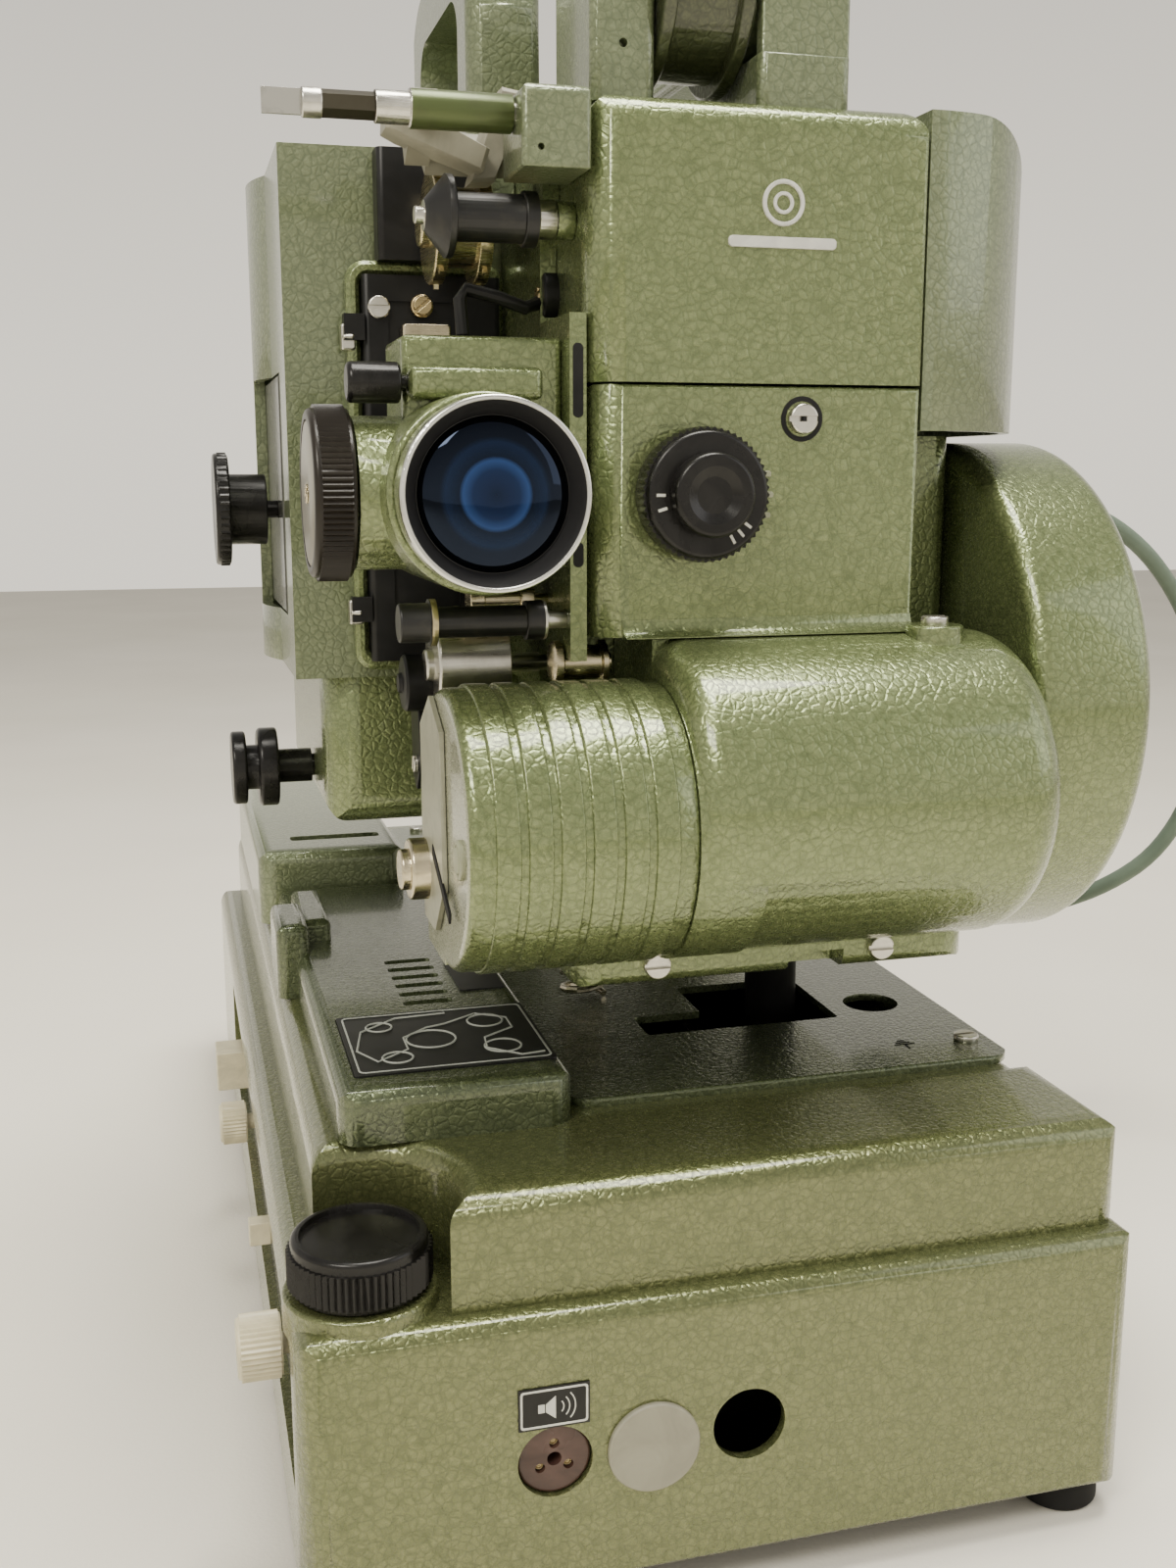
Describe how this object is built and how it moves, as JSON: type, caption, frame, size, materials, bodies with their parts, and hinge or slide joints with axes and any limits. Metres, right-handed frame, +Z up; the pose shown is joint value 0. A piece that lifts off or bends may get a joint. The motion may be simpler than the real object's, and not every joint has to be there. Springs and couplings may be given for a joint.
{
  "type": "film projector",
  "caption": "Sound film projector: tilting projector head with lens, lamp house, motor barrel and fan drum on an amplifier base with control knobs and carrying handle.",
  "frame": {"origin": "middle of the machine's overall width and of its base's depth, on the surface that the rubber feet stand on", "axes": "+X to the right seen from the front, -Y out of the lens towards the screen, +Z up"},
  "size_m": [0.4494, 0.545, 0.479],
  "materials": {
    "hammertone_light": "hammertone enamel on cast aluminium, semi gloss",
    "hammertone_dark": "hammertone enamel on cast aluminium, bluer and darker",
    "panel_grey": "satin",
    "blackened_metal": "satin",
    "black_rubber": "matt",
    "bakelite_black": "polished",
    "bakelite_brown": "polished",
    "ivory_plastic": "satin",
    "grey_plastic": "satin",
    "steel": "satin",
    "spring_steel": "bright drawn wire",
    "nickel": "nickel plated",
    "lens_aluminium": "turned, satin",
    "coated_glass": "blue coated",
    "lamp_glass": "clear",
    "iron_core": "varnished",
    "cord_rubber": "grey sheath"
  },
  "bodies": {
    "base": {"base_lower_shell": "hammertone_light", "base_bottom_plate": "panel_grey", "rubber_feet": "black_rubber", "base_upper_shell": "hammertone_light", "deck_plate": "hammertone_dark", "deck_platform": "hammertone_dark", "label_plates": "blackened_metal", "rear_connection_box": "hammertone_dark", "side_panel": "panel_grey", "speaker_socket": "bakelite_brown", "blanking_cap": "grey_plastic", "base_fasteners": "steel", "amplifier_unit": "iron_core", "hinge_bracket": "hammertone_dark", "support_spring": "spring_steel", "base_gland": "black_rubber", "link_cord": "cord_rubber"},
    "tilt_knob": {"tilt_knob": "bakelite_black"},
    "tilt_jack": {"tilt_jack": "blackened_metal"},
    "volume_knob": {"volume_knob": "ivory_plastic"},
    "tone_knob": {"tone_knob": "ivory_plastic"},
    "input_button": {"input_button": "ivory_plastic"},
    "selector_slider": {"selector_slider": "ivory_plastic"},
    "head": {"foot_plate": "hammertone_light", "main_casting": "hammertone_light", "front_cover_upper": "hammertone_light", "front_cover_lower": "hammertone_light", "rear_cover": "hammertone_dark", "barrel_housing": "hammertone_light", "ribbed_sound_housing": "hammertone_light", "sound_end_plate": "nickel", "drum_cover": "hammertone_light", "head_fasteners": "steel", "lamp_house": "hammertone_dark", "projection_lamp": "lamp_glass", "gate_frame": "blackened_metal", "lens_carrier": "hammertone_light", "spindle_block": "hammertone_dark", "arm_bracket": "hammertone_dark", "carrying_handle": "hammertone_dark", "motor_stator": "iron_core", "head_gland": "black_rubber"},
    "lamp_house_door": {"lamp_house_door": "panel_grey"},
    "lamp_knob": {"lamp_knob": "bakelite_black"},
    "lens": {"lens_barrel": "lens_aluminium", "lens_glass": "coated_glass"},
    "focus_knob": {"focus_knob": "bakelite_black"},
    "gate_lever": {"gate_lever": "bakelite_black"},
    "upper_sprocket": {"upper_sprocket": "nickel"},
    "upper_roller": {"upper_roller": "bakelite_black"},
    "lower_roller": {"lower_roller": "bakelite_black"},
    "sound_drum": {"sound_drum": "steel"},
    "pressure_roller": {"pressure_roller": "nickel"},
    "film_shoe": {"film_shoe": "grey_plastic"},
    "reel_spindle": {"reel_spindle": "steel"},
    "supply_arm": {"supply_arm": "hammertone_dark"},
    "arm_wheel": {"arm_wheel": "hammertone_dark"},
    "mode_knob": {"mode_knob": "bakelite_black"},
    "motor_rotor": {"motor_rotor": "steel"},
    "inching_knob": {"inching_knob": "bakelite_black"}
  },
  "joints": [
    {"name": "head_tilt", "type": "hinge", "parent": "base", "child": "head", "pos_m": [0.0335, 0.065, 0.148], "axis": [-1, 0, 0], "range_deg": [0, 5], "deforming": ["support_spring"]},
    {"name": "tilt_knob_turn", "type": "hinge", "parent": "base", "child": "tilt_knob", "pos_m": [-0.1065, -0.211, 0.103], "axis": [0, 0, 1], "range_deg": [0, 360]},
    {"name": "tilt_jack_rise", "type": "slide", "parent": "base", "child": "tilt_jack", "axis": [0, 0, 1], "range_m": [0, 0.0138]},
    {"name": "volume_turn", "type": "hinge", "parent": "base", "child": "volume_knob", "pos_m": [-0.1325, -0.201, 0.076], "axis": [-1, 0, 0], "range_deg": [0, 270]},
    {"name": "tone_turn", "type": "hinge", "parent": "base", "child": "tone_knob", "pos_m": [-0.1325, -0.021, 0.066], "axis": [-1, 0, 0], "range_deg": [0, 270]},
    {"name": "input_press", "type": "slide", "parent": "base", "child": "input_button", "axis": [1, 0, 0], "range_m": [0, 0.004], "stiffness_N_per_m": 300},
    {"name": "selector_slide", "type": "slide", "parent": "base", "child": "selector_slider", "axis": [0, 1, 0], "range_m": [0, 0.018]},
    {"name": "lamp_door_swing", "type": "hinge", "parent": "head", "child": "lamp_house_door", "pos_m": [-0.1079, 0.004, 0.302], "axis": [0, 0, -1], "range_deg": [0, 88]},
    {"name": "lamp_knob_turn", "type": "hinge", "parent": "lamp_house_door", "child": "lamp_knob", "pos_m": [-0.1215, -0.035, 0.297], "axis": [-1, 0, 0], "range_deg": [0, 90]},
    {"name": "lens_focus", "type": "slide", "parent": "head", "child": "lens", "axis": [0, 1, 0], "range_m": [-0.005, 0.002]},
    {"name": "focus_turn", "type": "hinge", "parent": "head", "child": "focus_knob", "pos_m": [-0.1025, -0.157, 0.3035], "axis": [-1, 0, 0], "range_deg": [-50, 25]},
    {"name": "gate_lever_turn", "type": "hinge", "parent": "head", "child": "gate_lever", "pos_m": [-0.0915, -0.165, 0.333], "axis": [-1, 0, 0], "range_deg": [0, 90]},
    {"name": "motor_spin", "type": "hinge", "parent": "head", "child": "motor_rotor", "pos_m": [0.0535, -0.111, 0.236], "axis": [1, 0, 0], "continuous": true},
    {"name": "upper_sprocket_spin", "type": "hinge", "parent": "head", "child": "upper_sprocket", "pos_m": [-0.0565, -0.115, 0.381], "axis": [1, 0, 0], "continuous": true},
    {"name": "inching_knob_spin", "type": "hinge", "parent": "head", "child": "inching_knob", "pos_m": [-0.1115, -0.035, 0.206], "axis": [1, 0, 0], "continuous": true},
    {"name": "upper_roller_spin", "type": "hinge", "parent": "head", "child": "upper_roller", "pos_m": [-0.0565, -0.155, 0.378], "axis": [1, 0, 0], "continuous": true},
    {"name": "lower_roller_spin", "type": "hinge", "parent": "head", "child": "lower_roller", "pos_m": [-0.0615, -0.165, 0.268], "axis": [1, 0, 0], "continuous": true},
    {"name": "sound_drum_spin", "type": "hinge", "parent": "head", "child": "sound_drum", "pos_m": [-0.0565, -0.131, 0.252], "axis": [1, 0, 0], "continuous": true},
    {"name": "pressure_roller_spin", "type": "hinge", "parent": "head", "child": "pressure_roller", "pos_m": [-0.0515, -0.143, 0.272], "axis": [1, 0, 0], "continuous": true},
    {"name": "film_shoe_lift", "type": "hinge", "parent": "head", "child": "film_shoe", "pos_m": [-0.0545, -0.135, 0.398], "axis": [1, 0, 0], "range_deg": [0, 25]},
    {"name": "reel_spindle_spin", "type": "hinge", "parent": "head", "child": "reel_spindle", "pos_m": [-0.0665, -0.165, 0.403], "axis": [1, 0, 0], "continuous": true},
    {"name": "supply_arm_raise", "type": "hinge", "parent": "head", "child": "supply_arm", "pos_m": [0.0315, -0.139, 0.446], "axis": [1, 0, 0], "range_deg": [0, 110]},
    {"name": "arm_wheel_spin", "type": "hinge", "parent": "supply_arm", "child": "arm_wheel", "pos_m": [0.0035, -0.139, 0.446], "axis": [1, 0, 0], "continuous": true},
    {"name": "mode_turn", "type": "hinge", "parent": "head", "child": "mode_knob", "pos_m": [-0.0025, -0.19, 0.303], "axis": [0, -1, 0], "range_deg": [-45, 90]}
  ],
  "couplings": [
    {"joint": "tilt_knob_turn", "follows": "head_tilt", "ratio": 72},
    {"joint": "tilt_jack_rise", "follows": "head_tilt", "m_per_rad": 0.154},
    {"joint": "focus_turn", "follows": "lens_focus", "rad_per_m": 150},
    {"joint": "upper_sprocket_spin", "follows": "motor_spin", "ratio": 0.12},
    {"joint": "inching_knob_spin", "follows": "motor_spin", "ratio": 0.96}
  ]
}
